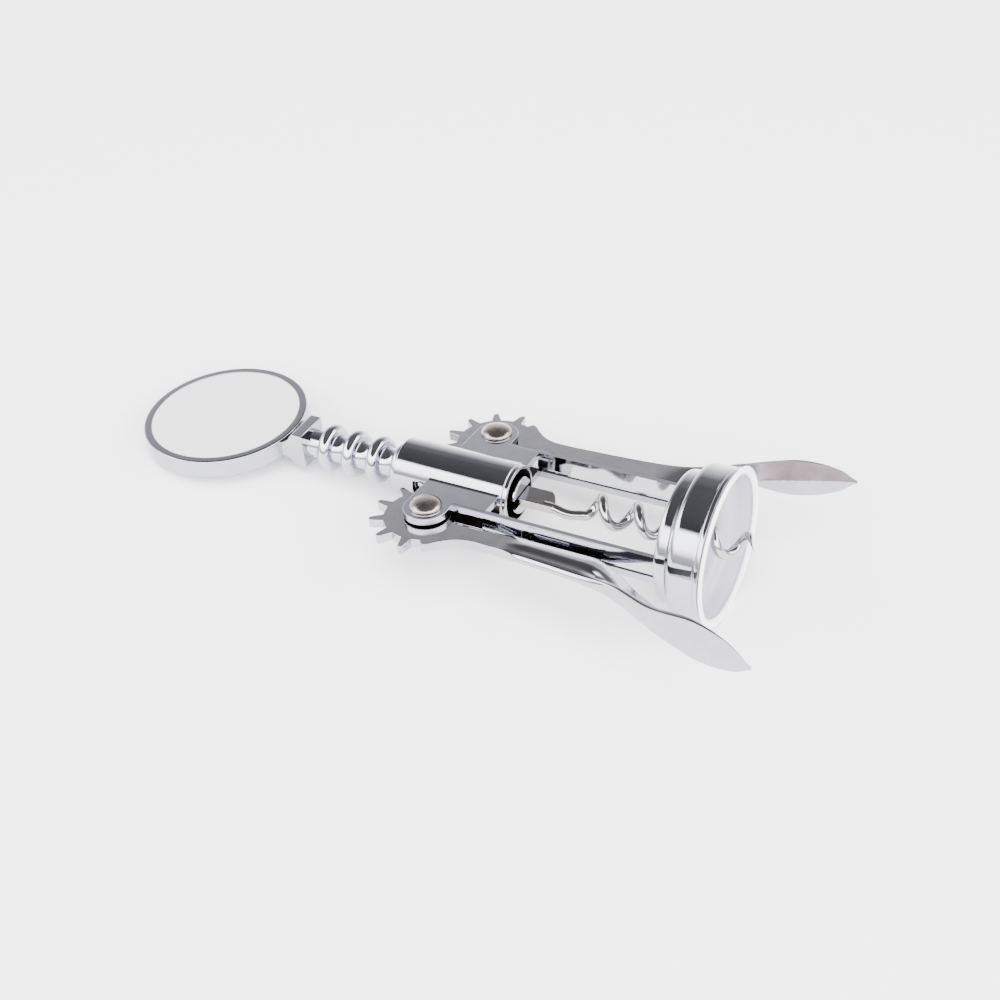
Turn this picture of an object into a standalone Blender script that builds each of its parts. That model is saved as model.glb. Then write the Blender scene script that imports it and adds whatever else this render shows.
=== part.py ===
"""Lever (wing) corkscrew, lying on a table with its levers closed.

The tool is drawn in its own frame: X runs along its axis from the flat round handle to the
bell, with X = 0 at the mouth of the bell, and Z is normal to the plane of the two levers.
The root empty then tilts the tool until the handle and the bell both touch the floor, Z = 0.
"""
import math

import bmesh
import bpy
from mathutils import Matrix, Vector

MM = 0.001
GAP = 0.3 * MM                       # clearance between pieces that touch or are pressed together
RUNNING_GAP = 0.45 * MM              # clearance of a lever between the two ear plates

# Handle: a flat disc with an inlay, and the square block that joins it to the spindle
HEAD_RADIUS = 20.7 * MM
HEAD_THICKNESS = 4.8 * MM
HEAD_CHAMFER = 0.6 * MM
HEAD_RIM = 2.1 * MM                  # flat rim left round the inlay
INLAY_THICKNESS = 0.8 * MM
INLAY_SINK = 0.1 * MM                # the inlay lies this far below the rim around it
BLOCK_END_X = -107.6 * MM
BLOCK_LENGTH = 5.5 * MM              # from the edge of the disc
BLOCK_SIDE = 9.2 * MM
BLOCK_FLAT_LENGTH = 3.0 * MM
BLOCK_SOCKET_DEPTH = 5.0 * MM

# Ring rack: a sleeve with round rings that turns on the spindle
RING_RADIUS = 5.8 * MM
RING_DEPTH = 2.2 * MM
RING_HALF_WIDTH = 1.7 * MM
RING_ROUNDNESS = 2.3                 # exponent of the rings' superelliptic section
FIRST_RING_X = -101.7 * MM
RING_COUNT = 7
SLEEVE_END_LENGTH = 2.6 * MM         # plain sleeve past the middle of the last ring

# Gears of the two levers
GEAR_PITCH_RADIUS = 12.4 * MM
GEAR_TIP_RADIUS = 13.0 * MM
GEAR_ROOT_RADIUS = 9.8 * MM
TOOTH_ANGLE = math.radians(31.4)
TOOTH_COUNT = 7
TOOTH_TIP_HALF_WIDTH = 0.7 * MM
TOOTH_ROOT_HALF_WIDTH = 1.2 * MM
RING_PITCH = GEAR_PITCH_RADIUS * TOOTH_ANGLE

# Lever pivots and rivets
PIVOT_X = -65.6 * MM
MESH_DEPTH = 1.3 * MM                # the gears' pitch circles reach this far inside the rings
RIVET_RADIUS = 2.4 * MM
RIVET_HEAD_RADIUS = 3.7 * MM
RIVET_HEAD_HEIGHT = 1.6 * MM

# Spindle, cross pin and worm
SPINDLE_RADIUS = 2.0 * MM
FORK_RADIUS = 4.4 * MM
FORK_LENGTH = 8.0 * MM
FORK_SLOT_LENGTH = 6.4 * MM
TANG_WIDTH = 5.4 * MM
TANG_THICKNESS = 2.0 * MM
TANG_END_X = -42.6 * MM
PIN_RADIUS = 0.8 * MM
WIRE_RADIUS = 1.15 * MM
WORM_RADIUS = 2.7 * MM               # from the worm's own axis to the middle of the wire
WORM_PITCH = 8.55 * MM
WORM_OFFSET = 1.4 * MM               # the worm's own axis lies this far above the spindle's
WORM_FIRST_LOW_X = -34.1 * MM        # where the wire is first at its lowest
WORM_TIP_X = 5.6 * MM

# Frame: barrel, ear plates, two legs and the bell, cast in one piece
BARREL_WALL = 1.1 * MM
BARREL_START_X = -80.6 * MM
BARREL_END_X = -52.1 * MM
BARREL_EDGE = 0.9 * MM
LIP_STEP = 0.35 * MM
LIP_LENGTH = 1.1 * MM
LEVER_THICKNESS = 2.2 * MM
EAR_THICKNESS = 1.8 * MM
EAR_NOSE_RADIUS = 5.2 * MM
EAR_END_X = -52.5 * MM
LEG_Y = 13.6 * MM
LEG_HALF_HEIGHT = 3.3 * MM
LEG_EDGE_HALF_WIDTH = 0.6 * MM
LEG_CREST_HALF_WIDTH = 1.2 * MM
LEG_SLOT_HALF = 2.0 * MM             # the slot is taller where it comes out through a leg

# Bell and its liner
BELL_BACK_X = -12.0 * MM
COLLAR_COVER = 0.1 * MM              # the collar reaches this far past the legs
COLLAR_LENGTH = 2.8 * MM
BELL_RADIUS = 17.2 * MM
BELL_WALL = 0.95 * MM
BELL_FRONT_X = -1.0 * MM
BELL_WEB_THICKNESS = 1.3 * MM
MOUTH_ROLL = 0.8 * MM                # the liner's rolled rim stands this far out from the bell
LINER_WALL = 1.0 * MM
LINER_FLOOR = 1.3 * MM
LINER_LIP = 1.0 * MM                 # the rolled rim reaches this far inside the bell's surface

# Lever arms, measured from the tool's axis
ARM_INNER_Y = 16.2 * MM
NECK_INNER_Y = 17.4 * MM             # the lever is waisted where it leaves the pivot
ARM_OUTER_Y = 21.9 * MM
PADDLE_TIP_X = 17.2 * MM
PADDLE_TIP_Y = 35.4 * MM
PADDLE_HALF_HEIGHT = 4.55 * MM
SHOULDER_RADIUS = 11.4 * MM
SHOULDER_ANGLE = math.radians(207.0)

# How the tool lies: the frame has rolled a little on the spindle, so the -Y lever is higher
FRAME_ROLL = math.radians(-4.7)

CHROME = ((0.62, 0.62, 0.65), 1.0, 0.06)
NICKEL = ((0.52, 0.47, 0.43), 1.0, 0.16)
WORM_STEEL = ((0.60, 0.57, 0.55), 1.0, 0.14)
INLAY_GREY = ((0.79, 0.79, 0.78), 0.0, 0.55)
LINER_WHITE = ((0.86, 0.86, 0.87), 0.0, 0.22)


# ---------------------------------------------------------------- small helpers

def clear_scene():
    for obj in list(bpy.data.objects):
        bpy.data.objects.remove(obj, do_unlink=True)


def material(name, look):
    colour, metallic, roughness = look
    mat = bpy.data.materials.new(name)
    mat.use_nodes = True
    shader = mat.node_tree.nodes["Principled BSDF"]
    shader.inputs["Base Color"].default_value = (*colour, 1.0)
    shader.inputs["Metallic"].default_value = metallic
    shader.inputs["Roughness"].default_value = roughness
    return mat


def empty(name, location, parent=None):
    obj = bpy.data.objects.new(name, None)
    obj.empty_display_size = 0.01
    obj.location = location
    obj.parent = parent
    bpy.context.scene.collection.objects.link(obj)
    return obj


def mesh_object(name, bm, location=(0.0, 0.0, 0.0)):
    """Turns a bmesh into an object and frees it."""
    bmesh.ops.recalc_face_normals(bm, faces=bm.faces)
    mesh = bpy.data.meshes.new(name)
    bm.to_mesh(mesh)
    bm.free()
    obj = bpy.data.objects.new(name, mesh)
    obj.location = location
    bpy.context.scene.collection.objects.link(obj)
    return obj


def finish(obj, look, parent, smooth_angle=35.0):
    """Gives a piece its own material, its shading and its parent."""
    obj.data.materials.clear()
    obj.data.materials.append(material(obj.name + "_material", look))
    obj.data.shade_smooth()
    obj.data.set_sharp_from_angle(angle=math.radians(smooth_angle))
    obj.parent = parent
    return obj


def skin(bm, rings, closed=False):
    """Joins rings of points, all of one length, into a tube; its ends are capped if open."""
    loops = [[bm.verts.new(point) for point in ring] for ring in rings]
    pairs = list(zip(loops, loops[1:]))
    if closed:
        pairs.append((loops[-1], loops[0]))
    for first, second in pairs:
        for i in range(len(first)):
            j = (i + 1) % len(first)
            bm.faces.new((first[i], first[j], second[j], second[i]))
    if not closed:
        bm.faces.new(loops[0])
        bm.faces.new(loops[-1])


def turned(name, profile, segments, axis="X", location=(0.0, 0.0, 0.0)):
    """A solid of revolution. The profile is a list of (along, radius); a profile that starts
    and ends on the axis gives a solid, and any other profile is closed into a ring."""
    solid = profile[0][1] < 1e-9 and profile[-1][1] < 1e-9
    body = profile[1:-1] if solid else profile
    bm = bmesh.new()
    loops = []
    for along, radius in body:
        ring = []
        for k in range(segments):
            turn = 2.0 * math.pi * k / segments
            across = (radius * math.cos(turn), radius * math.sin(turn))
            point = (along, *across) if axis == "X" else (*across, along)
            ring.append(bm.verts.new(point))
        loops.append(ring)
    pairs = list(zip(loops, loops[1:]))
    if not solid:
        pairs.append((loops[-1], loops[0]))
    for first, second in pairs:
        for k in range(segments):
            n = (k + 1) % segments
            bm.faces.new((first[k], first[n], second[n], second[k]))
    if solid:
        for ring, along in ((loops[0], profile[0][0]), (loops[-1], profile[-1][0])):
            centre = (along, 0.0, 0.0) if axis == "X" else (0.0, 0.0, along)
            tip = bm.verts.new(centre)
            for k in range(segments):
                bm.faces.new((ring[k], ring[(k + 1) % segments], tip))
    return mesh_object(name, bm, location)


def plate(name, outline, low, high):
    """An outline in X and Y, extruded from Z = low to Z = high."""
    bm = bmesh.new()
    face = bm.faces.new([bm.verts.new((x, y, low)) for x, y in outline])
    lifted = bmesh.ops.extrude_face_region(bm, geom=[face])
    verts = [item for item in lifted["geom"] if isinstance(item, bmesh.types.BMVert)]
    bmesh.ops.translate(bm, verts=verts, vec=(0.0, 0.0, high - low))
    return mesh_object(name, bm)


def box(name, low, high):
    corners = [(low[0], low[1]), (high[0], low[1]), (high[0], high[1]), (low[0], high[1])]
    return plate(name, corners, low[2], high[2])


def combine(target, others, operation):
    """Joins the others to the target, or cuts them from it, and removes them."""
    for other in others:
        modifier = target.modifiers.new(operation.lower(), "BOOLEAN")
        modifier.operation = operation
        modifier.solver = "EXACT"
        modifier.object = other
        bpy.context.view_layer.update()
        graph = bpy.context.evaluated_depsgraph_get()
        result = bpy.data.meshes.new_from_object(target.evaluated_get(graph))
        target.modifiers.clear()
        target.data = result
        bpy.data.objects.remove(other, do_unlink=True)
    return target


def arc(centre, radius, start, end, steps):
    """Points on a circle in a plane, from one angle to another, in radians."""
    angles = [start + (end - start) * k / steps for k in range(steps + 1)]
    return [(centre[0] + radius * math.cos(a), centre[1] + radius * math.sin(a)) for a in angles]


def mirrored(outline):
    return [(x, -y) for x, y in reversed(outline)]


def smooth(t):
    t = min(max(t, 0.0), 1.0)
    return t * t * (3.0 - 2.0 * t)


def curve_through(stations, x):
    """A smooth (Catmull-Rom) value at x through (x, value) stations."""
    last = len(stations) - 2
    k = next((i for i in range(last + 1) if x <= stations[i + 1][0]), last)
    x1, v1 = stations[k]
    x2, v2 = stations[k + 1]
    x0, v0 = stations[k - 1] if k > 0 else (x1 - (x2 - x1), v1)
    x3, v3 = stations[k + 2] if k < last else (x2 + (x2 - x1), v2)
    t = (x - x1) / (x2 - x1)
    slope1 = (v2 - v0) / (x2 - x0) * (x2 - x1)
    slope2 = (v3 - v1) / (x3 - x1) * (x2 - x1)
    a = 2.0 * t ** 3 - 3.0 * t ** 2 + 1.0
    b = t ** 3 - 2.0 * t ** 2 + t
    c = -2.0 * t ** 3 + 3.0 * t ** 2
    d = t ** 3 - t ** 2
    return a * v1 + b * slope1 + c * v2 + d * slope2


# ---------------------------------------------------------------- values that follow

HEAD_CENTRE_X = BLOCK_END_X - BLOCK_LENGTH - HEAD_RADIUS
INLAY_RADIUS = HEAD_RADIUS - HEAD_RIM
RACK_ROOT_RADIUS = RING_RADIUS - RING_DEPTH
PIVOT_Y = RING_RADIUS - MESH_DEPTH + GEAR_PITCH_RADIUS
LEVER_HALF = LEVER_THICKNESS / 2.0
SLOT_HALF = LEVER_HALF + RUNNING_GAP
EAR_TOP = SLOT_HALF + EAR_THICKNESS
BARREL_BORE = RING_RADIUS + GAP
BARREL_RADIUS = BARREL_BORE + BARREL_WALL
LIP_RADIUS = BARREL_RADIUS - LIP_STEP
SLEEVE_BORE = SPINDLE_RADIUS + GAP
RIVET_HOLE = RIVET_RADIUS + GAP
SLEEVE_START_X = BLOCK_END_X + GAP
SLEEVE_END_X = FIRST_RING_X + (RING_COUNT - 1) * RING_PITCH + SLEEVE_END_LENGTH
FORK_START_X = SLEEVE_END_X + GAP
FORK_END_X = FORK_START_X + FORK_LENGTH
WORM_REACH = WORM_OFFSET + WORM_RADIUS + WIRE_RADIUS
LINER_HOLE_RADIUS = WORM_REACH + 2.0 * GAP
BELL_STEP_X = BELL_BACK_X + COLLAR_LENGTH
BELL_SHOULDER_X = BELL_STEP_X + 1.0 * MM
COLLAR_RADIUS = LEG_Y + LEG_CREST_HALF_WIDTH + COLLAR_COVER
COLLAR_INNER_RADIUS = COLLAR_RADIUS - BELL_WALL
BELL_INNER_RADIUS = BELL_RADIUS - BELL_WALL
BELL_WEB_X = BELL_BACK_X + BELL_WEB_THICKNESS
MOUTH_RADIUS = BELL_RADIUS + MOUTH_ROLL
LINER_LIP_INNER_RADIUS = BELL_RADIUS - LINER_LIP


# ---------------------------------------------------------------- handle

def make_handle(parent):
    half = HEAD_THICKNESS / 2.0
    recess = half - INLAY_SINK - INLAY_THICKNESS - GAP
    recess_radius = INLAY_RADIUS + GAP
    chamfered = HEAD_RADIUS - HEAD_CHAMFER
    profile = [
        (-half, 0.0),
        (-half, chamfered),
        (-half + HEAD_CHAMFER, HEAD_RADIUS),
        (half - HEAD_CHAMFER, HEAD_RADIUS),
        (half, chamfered),
        (half, recess_radius),
        (recess, recess_radius),
        (recess, 0.0),
    ]
    centre = (HEAD_CENTRE_X, 0.0, 0.0)
    handle = turned("handle_head", profile, 56, "Z", centre)

    # The block grows from the edge of the disc to its full square section
    side = BLOCK_SIDE / 2.0
    disc_edge = HEAD_CENTRE_X + HEAD_RADIUS
    rim_width = HEAD_RADIUS - recess_radius
    root = half - HEAD_CHAMFER
    sections = [
        (disc_edge - rim_width, side + 0.6 * MM, root - 0.3 * MM),
        (disc_edge, side + 0.4 * MM, root),
        (BLOCK_END_X - 1.5 * BLOCK_FLAT_LENGTH, side + 0.1 * MM, side * 0.7),
        (BLOCK_END_X - BLOCK_FLAT_LENGTH, side, side * 0.97),
        (BLOCK_END_X, side, side),
    ]
    bm = bmesh.new()
    rings = []
    for x, y, z in sections:
        rings.append([(x, -y, -z), (x, y, -z), (x, y, z), (x, -y, z)])
    skin(bm, rings)
    block = mesh_object("block", bm)
    socket = turned(
        "socket",
        [
            (BLOCK_END_X - BLOCK_SOCKET_DEPTH, 0.0),
            (BLOCK_END_X - BLOCK_SOCKET_DEPTH, SLEEVE_BORE),
            (BLOCK_END_X + 1.0 * MM, SLEEVE_BORE),
            (BLOCK_END_X + 1.0 * MM, 0.0),
        ],
        20,
    )
    combine(handle, [block], "UNION")
    combine(handle, [socket], "DIFFERENCE")
    finish(handle, CHROME, parent)

    inlay_top = half - INLAY_SINK
    inlay = turned(
        "head_inlay",
        [
            (inlay_top - INLAY_THICKNESS, 0.0),
            (inlay_top - INLAY_THICKNESS, INLAY_RADIUS),
            (inlay_top, INLAY_RADIUS),
            (inlay_top, 0.0),
        ],
        56,
        "Z",
        centre,
    )
    finish(inlay, INLAY_GREY, parent)


# ---------------------------------------------------------------- ring rack

def ring_profile(centre_x):
    """The rounded outline of one ring, from root to root."""
    depth = RING_RADIUS - RACK_ROOT_RADIUS
    points = []
    for share in (-1.0, -0.9, -0.55, 0.0, 0.55, 0.9, 1.0):
        height = (1.0 - abs(share) ** RING_ROUNDNESS) ** (1.0 / RING_ROUNDNESS)
        points.append((centre_x + share * RING_HALF_WIDTH, RACK_ROOT_RADIUS + depth * height))
    return points


def make_rack(parent):
    profile = [(SLEEVE_START_X, SLEEVE_BORE), (SLEEVE_START_X, RACK_ROOT_RADIUS)]
    for k in range(RING_COUNT):
        profile += ring_profile(FIRST_RING_X + k * RING_PITCH)
    profile += [(SLEEVE_END_X, RACK_ROOT_RADIUS), (SLEEVE_END_X, SLEEVE_BORE)]
    rack = turned("ring_rack", profile, 24)
    finish(rack, CHROME, parent)


# ---------------------------------------------------------------- spindle, pin and worm

def make_spindle(parent):
    start = BLOCK_END_X - BLOCK_SOCKET_DEPTH + GAP
    edge = 0.5 * MM
    profile = [
        (start, 0.0),
        (start, SPINDLE_RADIUS),
        (FORK_START_X, SPINDLE_RADIUS),
        (FORK_START_X, FORK_RADIUS - edge),
        (FORK_START_X + edge, FORK_RADIUS),
        (FORK_END_X - edge, FORK_RADIUS),
        (FORK_END_X, FORK_RADIUS - edge),
        (FORK_END_X, 0.0),
    ]
    spindle = turned("spindle", profile, 24)
    slot_half = TANG_THICKNESS / 2.0 + GAP
    reach = 2.0 * FORK_RADIUS
    slot = box(
        "slot",
        (FORK_END_X - FORK_SLOT_LENGTH, -reach, -slot_half),
        (FORK_END_X + reach, reach, slot_half),
    )
    hole = pin_shape("pin_hole", PIN_RADIUS + GAP, 2.0 * FORK_RADIUS)
    combine(spindle, [slot, hole], "DIFFERENCE")
    finish(spindle, CHROME, parent)

    pin = pin_shape("tang_pin", PIN_RADIUS, 2.0 * (FORK_RADIUS - 0.4 * MM))
    finish(pin, NICKEL, parent)


def pin_shape(name, radius, length):
    """A straight pin along Z through the middle of the fork's slot."""
    half = length / 2.0
    profile = [(-half, 0.0), (-half, radius), (half, radius), (half, 0.0)]
    x = FORK_END_X - FORK_SLOT_LENGTH / 2.0
    return turned(name, profile, 14, "Z", (x, 0.0, 0.0))


def worm_centre(x):
    """The middle of the wire at x: a quarter turn away from the tang, then a steady helix
    down to the tip, where it closes in on the spindle's axis."""
    lead_in = smooth((x - TANG_END_X) / (WORM_FIRST_LOW_X - TANG_END_X))
    if x < WORM_FIRST_LOW_X:
        angle = math.pi + 0.5 * math.pi * lead_in
    else:
        angle = 1.5 * math.pi + 2.0 * math.pi * (x - WORM_FIRST_LOW_X) / WORM_PITCH
    closing = smooth((x - WORM_TIP_X + WORM_PITCH / 2.0) / (WORM_PITCH / 2.0))
    start_radius = TANG_WIDTH / 2.0 - WIRE_RADIUS
    radius = start_radius + (WORM_RADIUS - start_radius) * lead_in
    radius *= 1.0 - 0.2 * closing
    rise = WORM_OFFSET * lead_in * (1.0 - 0.3 * closing)
    return Vector((x, radius * math.cos(angle), rise + radius * math.sin(angle)))


def wire_rings(start_x, end_x, steps, sides):
    """Rings of points round the wire's middle line, thinning to a point over the last turn."""
    step = (end_x - start_x) / steps
    rings = []
    side = Vector((0.0, 0.0, 1.0))
    for k in range(steps + 1):
        x = start_x + step * k
        ahead = worm_centre(x + 0.1 * step) - worm_centre(x - 0.1 * step)
        ahead.normalize()
        side = (side - ahead * side.dot(ahead)).normalized()
        other = ahead.cross(side)
        left = (end_x - x) / (0.4 * WORM_PITCH)
        radius = WIRE_RADIUS * (0.12 + 0.88 * smooth(left))
        ring = []
        for n in range(sides):
            turn = 2.0 * math.pi * n / sides
            offset = side * math.cos(turn) + other * math.sin(turn)
            ring.append(worm_centre(x) + offset * radius)
        rings.append(ring)
    return rings


def make_worm(parent):
    bm = bmesh.new()
    skin(bm, wire_rings(TANG_END_X - 1.2 * MM, WORM_TIP_X, 92, 8))
    worm = mesh_object("worm", bm)
    half_width = TANG_WIDTH / 2.0
    half_height = TANG_THICKNESS / 2.0
    start = FORK_END_X - FORK_SLOT_LENGTH + GAP
    corner = 1.0 * MM
    outline = [
        (start, -half_width),
        (TANG_END_X + corner, -half_width),
        (TANG_END_X + 2.0 * corner, -half_width + corner),
        (TANG_END_X, half_width - corner),
        (TANG_END_X - corner, half_width),
        (start, half_width),
    ]
    tang = plate("tang", outline, -half_height, half_height)
    hole = pin_shape("pin_hole", PIN_RADIUS + GAP, 4.0 * FORK_RADIUS)
    combine(worm, [tang], "UNION")
    combine(worm, [hole], "DIFFERENCE")
    finish(worm, WORM_STEEL, parent)


# ---------------------------------------------------------------- frame

def ear_outline():
    """Both ears as one plate outline: straight ends, and a round nose about each pivot."""
    side = [(EAR_END_X, LEG_Y), (PIVOT_X + EAR_NOSE_RADIUS, LEG_Y)]
    side += arc((PIVOT_X, PIVOT_Y), EAR_NOSE_RADIUS, 0.0, math.pi, 14)
    return side + [(x, y) for x, y in mirrored(side)]


def leg(side):
    """A leg of six-sided section, from the ears into the bell's collar."""
    start = PIVOT_X + EAR_NOSE_RADIUS - 0.1 * MM
    end = 0.5 * (BELL_BACK_X + BELL_WEB_X)
    section = [
        (-LEG_EDGE_HALF_WIDTH, LEG_HALF_HEIGHT),
        (-LEG_CREST_HALF_WIDTH, 0.0),
        (-LEG_EDGE_HALF_WIDTH, -LEG_HALF_HEIGHT),
        (LEG_EDGE_HALF_WIDTH, -LEG_HALF_HEIGHT),
        (LEG_CREST_HALF_WIDTH, 0.0),
        (LEG_EDGE_HALF_WIDTH, LEG_HALF_HEIGHT),
    ]
    rings = [[(x, side * LEG_Y + y, z) for y, z in section] for x in (start, end)]
    bm = bmesh.new()
    skin(bm, rings)
    return mesh_object("leg", bm)


def bell_profile():
    """The metal bell: a narrow collar, a groove, and the wide ring that holds the liner."""
    groove = 0.4 * MM
    edge = 0.4 * MM
    web_hole = LINER_HOLE_RADIUS + 2.0 * MM
    bead_x = BELL_FRONT_X - 1.2 * MM
    return [
        (BELL_BACK_X, web_hole),
        (BELL_BACK_X, COLLAR_RADIUS - 2.0 * edge),
        (BELL_BACK_X + edge, COLLAR_RADIUS - edge / 2.0),
        (BELL_BACK_X + 2.0 * edge, COLLAR_RADIUS),
        (BELL_STEP_X - edge, COLLAR_RADIUS),
        (BELL_STEP_X, COLLAR_RADIUS - groove),
        (BELL_SHOULDER_X - edge / 2.0, COLLAR_RADIUS - groove),
        (BELL_SHOULDER_X, BELL_RADIUS - 1.5 * edge),
        (BELL_SHOULDER_X + edge, BELL_RADIUS - 0.4 * edge),
        (BELL_SHOULDER_X + 2.5 * edge, BELL_RADIUS),
        (bead_x - edge / 2.0, BELL_RADIUS),
        (bead_x, BELL_RADIUS - edge / 2.0),
        (bead_x + edge / 2.0, BELL_RADIUS + edge / 2.0),
        (BELL_FRONT_X, BELL_RADIUS + edge / 2.0),
        (BELL_FRONT_X, BELL_INNER_RADIUS),
        (BELL_SHOULDER_X + BELL_WALL, BELL_INNER_RADIUS),
        (BELL_SHOULDER_X + BELL_WALL, COLLAR_INNER_RADIUS),
        (BELL_WEB_X, COLLAR_INNER_RADIUS),
        (BELL_WEB_X, web_hole),
    ]


def make_frame(parent):
    lip_end = BARREL_END_X + LIP_LENGTH
    rounded = arc(
        (BARREL_START_X + BARREL_EDGE, BARREL_RADIUS - BARREL_EDGE),
        BARREL_EDGE, math.pi, 0.5 * math.pi, 3,
    )
    barrel = turned(
        "frame",
        [(BARREL_START_X, 0.0)] + rounded + [
            (BARREL_END_X, BARREL_RADIUS),
            (BARREL_END_X, LIP_RADIUS),
            (lip_end, LIP_RADIUS),
            (lip_end, 0.0),
        ],
        40,
    )
    ears = [
        plate("upper_ears", ear_outline(), SLOT_HALF, EAR_TOP),
        plate("lower_ears", ear_outline(), -EAR_TOP, -SLOT_HALF),
    ]
    legs = [leg(1.0), leg(-1.0)]
    bell = turned("bell", bell_profile(), 48)
    combine(barrel, ears + legs + [bell], "UNION")

    bore = turned(
        "bore",
        [
            (BARREL_START_X - BARREL_RADIUS, 0.0),
            (BARREL_START_X - BARREL_RADIUS, BARREL_BORE),
            (lip_end + BARREL_RADIUS, BARREL_BORE),
            (lip_end + BARREL_RADIUS, 0.0),
        ],
        40,
    )
    reach = GEAR_TIP_RADIUS + 2.0 * GAP
    half_window = math.sqrt(reach ** 2 - (PIVOT_Y - BARREL_RADIUS) ** 2)
    window = box(
        "window",
        (PIVOT_X - half_window, -PIVOT_Y, -SLOT_HALF),
        (PIVOT_X + half_window, PIVOT_Y, SLOT_HALF),
    )
    cutters = [bore, window]
    for side in (1.0, -1.0):
        inside = side * (LEG_Y - LEG_CREST_HALF_WIDTH)
        outside = side * (LEG_Y + 2.0 * LEG_CREST_HALF_WIDTH)
        cutters.append(box(
            "leg_slot",
            (PIVOT_X + EAR_NOSE_RADIUS - 0.5 * MM, min(inside, outside), -LEG_SLOT_HALF),
            (EAR_END_X + 0.4 * MM, max(inside, outside), LEG_SLOT_HALF),
        ))
        near = BARREL_RADIUS + RUNNING_GAP
        far = PIVOT_Y + GEAR_TIP_RADIUS
        cutters.append(box(
            "slot",
            (PIVOT_X - GEAR_TIP_RADIUS, min(side * near, side * far), -SLOT_HALF),
            (EAR_END_X, max(side * near, side * far), SLOT_HALF),
        ))
        hole = [
            (-2.0 * EAR_TOP, 0.0),
            (-2.0 * EAR_TOP, RIVET_HOLE),
            (2.0 * EAR_TOP, RIVET_HOLE),
            (2.0 * EAR_TOP, 0.0),
        ]
        cutters.append(turned("hole", hole, 20, "Z", (PIVOT_X, side * PIVOT_Y, 0.0)))
    combine(barrel, cutters, "DIFFERENCE")
    finish(barrel, CHROME, parent)


def liner_profile():
    """The white liner: a cup with a stepped outside, a hole for the worm and a rolled rim."""
    back_x = BELL_WEB_X + GAP
    floor_x = back_x + LINER_FLOOR
    step_x = BELL_SHOULDER_X + BELL_WALL + GAP
    rim_back_x = BELL_FRONT_X + GAP
    small = COLLAR_INNER_RADIUS - GAP
    large = BELL_INNER_RADIUS - GAP
    return [
        (back_x, LINER_HOLE_RADIUS),
        (back_x, small),
        (step_x, small),
        (step_x, large),
        (rim_back_x, large),
        (rim_back_x, MOUTH_RADIUS - 0.35 * MM),
        (rim_back_x / 2.0, MOUTH_RADIUS),
        (-0.1 * MM, MOUTH_RADIUS - 0.4 * MM),
        (0.0, MOUTH_RADIUS - 0.9 * MM),
        (-0.1 * MM, LINER_LIP_INNER_RADIUS + 0.3 * MM),
        (-0.6 * MM, LINER_LIP_INNER_RADIUS),
        (step_x + 2.0 * LINER_WALL, large - LINER_WALL),
        (step_x + LINER_WALL, small - LINER_WALL),
        (floor_x + 0.5 * MM, small - 1.2 * LINER_WALL),
        (floor_x, small - 2.0 * LINER_WALL),
        (floor_x, LINER_HOLE_RADIUS),
    ]


def make_liner(parent):
    liner = turned("bell_liner", liner_profile(), 48)
    finish(liner, LINER_WHITE, parent)


def make_rivet(name, side, parent):
    """A rivet with a domed head above and a flatter formed head below."""
    under = EAR_TOP + GAP
    dome = [(0.0, 1.0), (0.25, 0.93), (0.6, 0.72), (0.85, 0.4), (1.0, 0.0)]
    profile = [(-under - 0.75 * RIVET_HEAD_HEIGHT, 0.0)]
    for rise, share in reversed(dome[:-1]):
        profile.append((-under - 0.75 * RIVET_HEAD_HEIGHT * rise, RIVET_HEAD_RADIUS * share))
    profile += [(-under, RIVET_RADIUS), (under, RIVET_RADIUS)]
    for rise, share in dome[:-1]:
        profile.append((under + RIVET_HEAD_HEIGHT * rise, RIVET_HEAD_RADIUS * share))
    profile.append((under + RIVET_HEAD_HEIGHT, 0.0))
    rivet = turned(name, profile, 20, "Z", (PIVOT_X, side * PIVOT_Y, 0.0))
    finish(rivet, NICKEL, parent)


# ---------------------------------------------------------------- levers

def first_tooth_angle():
    """The tooth in mesh stands in the gap between two rings of the rack at rest. The angle is
    from the line towards the tool's axis, growing towards the handle."""
    gap_x = FIRST_RING_X + RING_PITCH / 2.0
    while gap_x < PIVOT_X:
        gap_x += RING_PITCH
    return -(gap_x - PIVOT_X) / GEAR_PITCH_RADIUS


def gear_point(angle, radius, across=0.0):
    """A point of the +Y lever, about its pivot, at an angle and a radius, with a step across."""
    inward = (0.0, -1.0)
    headward = (-1.0, 0.0)
    cosine, sine = math.cos(angle), math.sin(angle)
    x = radius * (cosine * inward[0] + sine * headward[0])
    y = radius * (cosine * inward[1] + sine * headward[1])
    x += across * (-sine * inward[0] + cosine * headward[0])
    y += across * (-sine * inward[1] + cosine * headward[1])
    return (x, y)


def tooth_outline(angle):
    """A tapered tooth with a round end."""
    centre = GEAR_TIP_RADIUS - TOOTH_TIP_HALF_WIDTH
    root = math.sqrt(GEAR_ROOT_RADIUS ** 2 - TOOTH_ROOT_HALF_WIDTH ** 2)
    points = [gear_point(angle, root, -TOOTH_ROOT_HALF_WIDTH)]
    for k in range(6):
        turn = -0.5 * math.pi + math.pi * k / 5.0
        points.append(gear_point(
            angle,
            centre + TOOTH_TIP_HALF_WIDTH * math.cos(turn),
            TOOTH_TIP_HALF_WIDTH * math.sin(turn),
        ))
    points.append(gear_point(angle, root, TOOTH_ROOT_HALF_WIDTH))
    return points


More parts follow.
